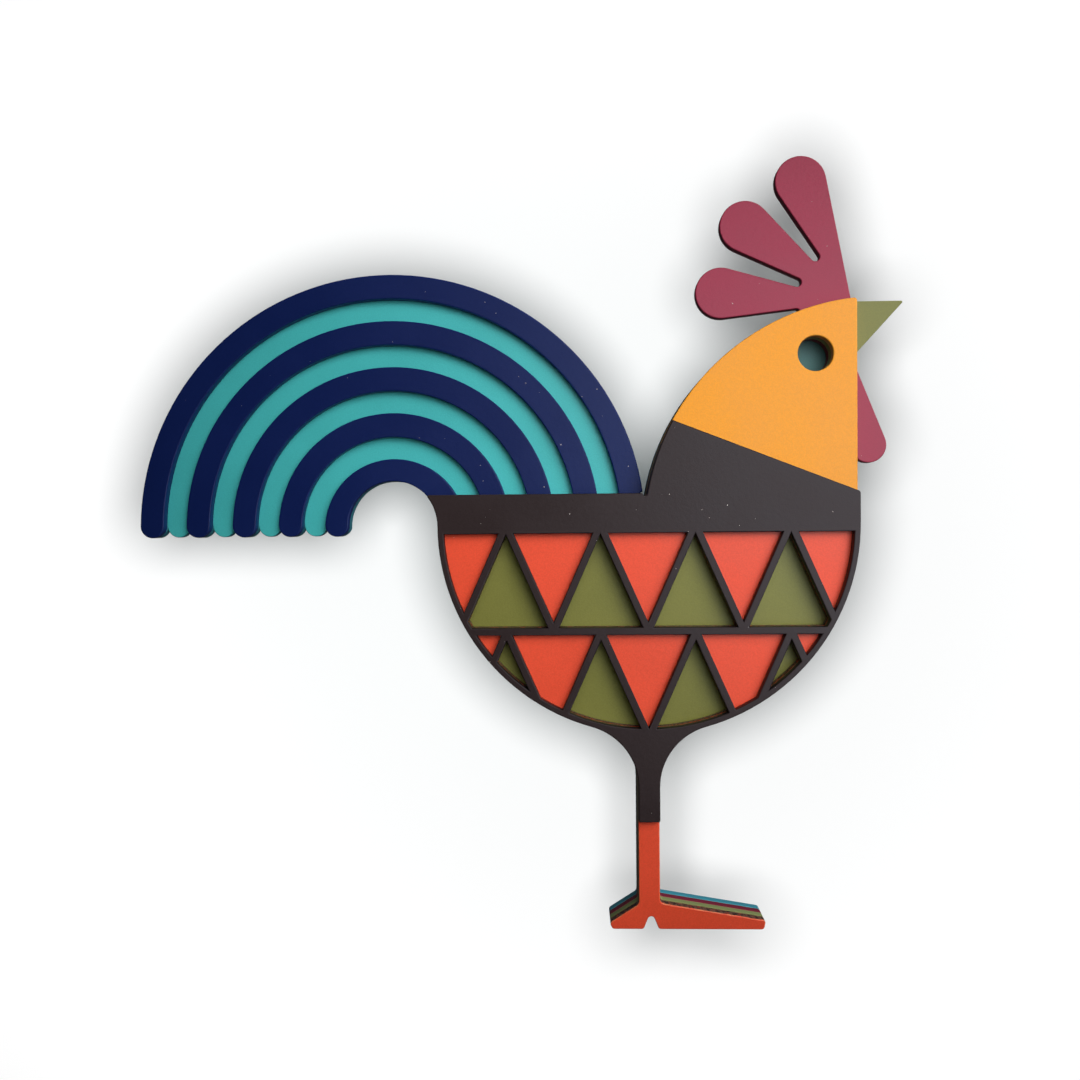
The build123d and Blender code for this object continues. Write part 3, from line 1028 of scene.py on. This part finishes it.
@dataclass
class Studio:
    """The camera, the lamps and the white wall behind the ornament.

    Attributes:
        camera_place: Where the camera stands, in metres.
        camera_shift: How far right of and above straight ahead the camera looks, in the photo's pixels.
        camera_roll: How far the camera is turned about its axis, in radians.
        camera_near: How close to the camera things are still seen, in metres.
        focal_length: The lens length, in the photo's pixels.
        photo_width: The photo's width, in pixels.
        sensor: The sensor's width, in millimetres.
        soft_box: The box that lights the ornament.
        soft_aim: The point that the soft box is turned to, in metres.
        soft_spread: How wide the soft box's grid lets its light out, in radians.
        sheen: The window of light that only the paint's gloss shows, turned like the soft box.
        sheen_tint: The colour of its light, as shares of white.
        fill: How bright the room is.
        wall_gap: How far behind the ornament the wall lies, in metres.
        wall_reach: Half the wall's width, in metres.
        wall_lamps: The radius, in metres, and the strength of each round lamp that lights the wall.
        wall_even: How far out the wall starts and ends to get whiter, in metres from the origin.
        wall_white: How white the wall is there, since its outer part gets less light.
        back_light: The strength of the light from behind.
        edge_light: The strength of the light along the sheets, which only cut edges catch.
        edge_from: The direction that it comes from.
        sun_angle: How broad the lights from behind and along the sheets are, in radians.
    """

    camera_place: Triple = (-0.01228, -0.305, 0.00911)
    camera_shift: Pair = (-30.0, -15.0)
    camera_roll: float = math.radians(0.5)
    camera_near: float = 1.0 * MM
    focal_length: float = 967.0
    photo_width: float = 1080.0
    sensor: float = 36.0
    soft_box: LightBox = LightBox("soft_box", (0.125, -0.2, 0.113), size=(0.405, 0.304), power=0.43)
    soft_aim: Triple = (0.045, 0.0, 0.028)
    soft_spread: float = math.radians(75.6)
    sheen: LightBox = LightBox("sheen_window", (0.22, -0.2, 0.03), size=(0.405, 0.304), power=1.15)
    sheen_tint: Colour = (0.8, 0.89, 1.0)
    fill: float = 0.06
    wall_gap: float = 200.0 * MM
    wall_reach: float = 1.5
    wall_lamps: tuple[Pair, ...] = ((0.035, 4.52), (0.14, 0.27))
    wall_even: Pair = (0.2, 0.438)
    wall_white: Pair = (0.787, 1.0)
    back_light: float = 1.8
    edge_light: float = 2.2
    edge_from: Triple = (0.85, 0.02, 0.53)
    sun_angle: float = math.radians(4.0)

    def build(self) -> None:
        """Set up the camera, the wall, the lamps and the room."""
        self._camera()
        wall = self._wall()
        self._lamps(wall)
        self._room()
        bpy.context.scene.view_settings.view_transform = "Standard"

    def _camera(self) -> None:
        """Stand the camera where the picture was taken."""
        right_shift, up_shift = (shift / self.focal_length for shift in self.camera_shift)
        ahead = Vector((right_shift, 1.0, up_shift)).normalized()
        level_right = ahead.cross(UPWARD).normalized()
        level_up = level_right.cross(ahead)
        turn, keep = math.sin(self.camera_roll), math.cos(self.camera_roll)
        right = keep * level_right - turn * level_up
        up = turn * level_right + keep * level_up
        data = bpy.data.cameras.new("camera")
        data.sensor_width = self.sensor
        data.lens = self.focal_length / self.photo_width * self.sensor
        data.clip_start = self.camera_near
        camera = put_up("camera", data)
        turned = Matrix((right, up, -ahead)).transposed().to_4x4()
        camera.matrix_world = Matrix.Translation(self.camera_place) @ turned
        bpy.context.scene.camera = camera

    def _wall(self) -> Object:
        """Put up the white wall, which is only seen from its front.

        Returns:
            The wall.
        """
        reach, depth = self.wall_reach, self.wall_gap
        corners = [(x, depth, z) for x, z in (
            (-reach, -reach), (reach, -reach), (reach, reach), (-reach, reach))]
        mesh = bpy.data.meshes.new("white_wall")
        mesh.from_pydata(corners, [], [range(len(corners))])
        wall = put_up("white_wall", mesh)
        wall.visible_diffuse = wall.visible_glossy = wall.visible_shadow = False
        material = bpy.data.materials.new("white_wall")
        material.use_nodes = True
        bench = NodeBench(material.node_tree)
        bench.tree.nodes.remove(bench.tree.nodes["Principled BSDF"])
        place = bench.add("ShaderNodeTexCoord").outputs["Object"]
        away = bench.add("ShaderNodeVectorMath", {0: place}, operation="LENGTH")
        white = bench.ramp(away.outputs["Value"], *self.wall_even, *self.wall_white)
        chalk = bench.add("ShaderNodeBsdfDiffuse", {"Color": white})
        clear = bench.add("ShaderNodeBsdfTransparent")
        behind = bench.add("ShaderNodeNewGeometry").outputs["Backfacing"]
        either = bench.add("ShaderNodeMixShader", {0: behind, 1: chalk.outputs[0], 2: clear.outputs[0]})
        bench.feed(bench.tree.nodes["Material Output"].inputs["Surface"], either.outputs[0])
        mesh.materials.append(material)
        return wall

    def _lamps(self, wall: Object) -> None:
        """Hang the soft box, the sheen window, the wall's lamps and the lights from behind and the side.

        Args:
            wall: The wall, which the boxes and the light along the sheets leave out.
        """
        others = bpy.data.collections.new("all_but_wall")
        others.objects.link(wall)
        others.collection_objects[0].light_linking.link_state = "EXCLUDE"
        aim = Vector(self.soft_aim) - Vector(self.soft_box.place)
        soft_box = self._box(self.soft_box, aim, others)
        soft_box.data.spread = self.soft_spread
        soft_box.visible_glossy = False
        window = self._box(self.sheen, aim, others)
        window.data.color = self.sheen_tint
        window.visible_diffuse = False
        self._wall_lamps(wall)
        self._sun("rear_light", self.back_light, TO_BACK)
        along = self._sun("edge_light", self.edge_light, Vector(self.edge_from))
        along.light_linking.receiver_collection = others

    def _wall_lamps(self, wall: Object) -> None:
        """Hang the round lamps at the camera, which light only the wall and don't fade on the way.

        Args:
            wall: The wall.
        """
        only_wall = bpy.data.collections.new("only_wall")
        only_wall.objects.link(wall)
        for radius, strength in self.wall_lamps:
            even = bpy.data.lights.new("wall_lamp", "POINT")
            even.shadow_soft_size = radius
            even.use_nodes = True
            bench = NodeBench(even.node_tree)
            falloff = bench.add("ShaderNodeLightFalloff", {"Strength": strength})
            bench.feed(bench.tree.nodes["Emission"].inputs["Strength"], falloff.outputs["Constant"])
            wall_lamp = self._hang(even, Vector(self.camera_place), TO_BACK)
            wall_lamp.light_linking.receiver_collection = only_wall

    def _sun(self, name: str, strength: float, source: Vector) -> Object:
        """Hang a far light that the paint's gloss doesn't show.

        Args:
            name: The light's name.
            strength: Its strength.
            source: Where it comes from.

        Returns:
            The light's object.
        """
        lamp = bpy.data.lights.new(name, "SUN")
        lamp.angle = self.sun_angle
        lamp.energy = strength
        hung = self._hang(lamp, source, -source)
        hung.visible_glossy = False
        return hung

    def _box(self, box: LightBox, aim: Vector, lit: Collection) -> Object:
        """Hang a box of light.

        Args:
            box: The box.
            aim: The direction that it shines in.
            lit: What it lights.

        Returns:
            The box's object.
        """
        lamp = bpy.data.lights.new(box.name, "AREA")
        lamp.shape = "RECTANGLE"
        lamp.size, lamp.size_y = box.size
        lamp.energy = box.power
        hung = self._hang(lamp, Vector(box.place), aim)
        hung.light_linking.receiver_collection = lit
        return hung

    def _hang(self, lamp: Light, place: Vector, aim: Vector) -> Object:
        """Hang a lamp and turn it.

        Args:
            lamp: The lamp.
            place: Where it hangs, in metres.
            aim: The direction that it shines in.

        Returns:
            The lamp's object.
        """
        hung = put_up(lamp.name, lamp)
        hung.location = place
        hung.rotation_euler = aim.to_track_quat("-Z", "Y").to_euler()
        return hung

    def _room(self) -> None:
        """Make the room dim, with a white ground for the camera."""
        world = bpy.data.worlds.new("room")
        world.use_nodes = True
        bpy.context.scene.world = world
        bench = NodeBench(world.node_tree)
        dim = bench.tree.nodes["Background"]
        bench.feed(dim.inputs["Color"], WHITE)
        bench.feed(dim.inputs["Strength"], self.fill)
        white = bench.add("ShaderNodeBackground", {"Color": WHITE})
        path = bench.add("ShaderNodeLightPath")
        seen = bench.sum("MAXIMUM", path.outputs["Is Camera Ray"], path.outputs["Is Transmission Ray"])
        shown = bench.add("ShaderNodeMixShader", {0: seen, 1: dim.outputs[0], 2: white.outputs[0]})
        bench.feed(bench.tree.nodes["World Output"].inputs["Surface"], shown.outputs[0])


def main() -> None:
    """Build the ornament and its studio."""
    logging.basicConfig(level=logging.INFO, format="%(name)s: %(message)s")
    effects = SharedEffects()
    sheets: dict[str, Object] = {}
    stack = bpy.data.collections.new("sheets")
    for group in (TailFan(), Head(), Breast()):
        for sheet in group.build(effects):
            sheets[sheet.name] = sheet
            stack.objects.link(sheet)
    LOG.info("%d sheets dressed", len(sheets))
    dust = DustFlakes()
    for number, (name, (density, slot)) in enumerate(DUSTY_SHEETS.items()):
        dust.scatter(sheets[name], stack, density, DUST_SEED + number, slot)
    Studio().build()


if __name__ == "__main__":
    main()
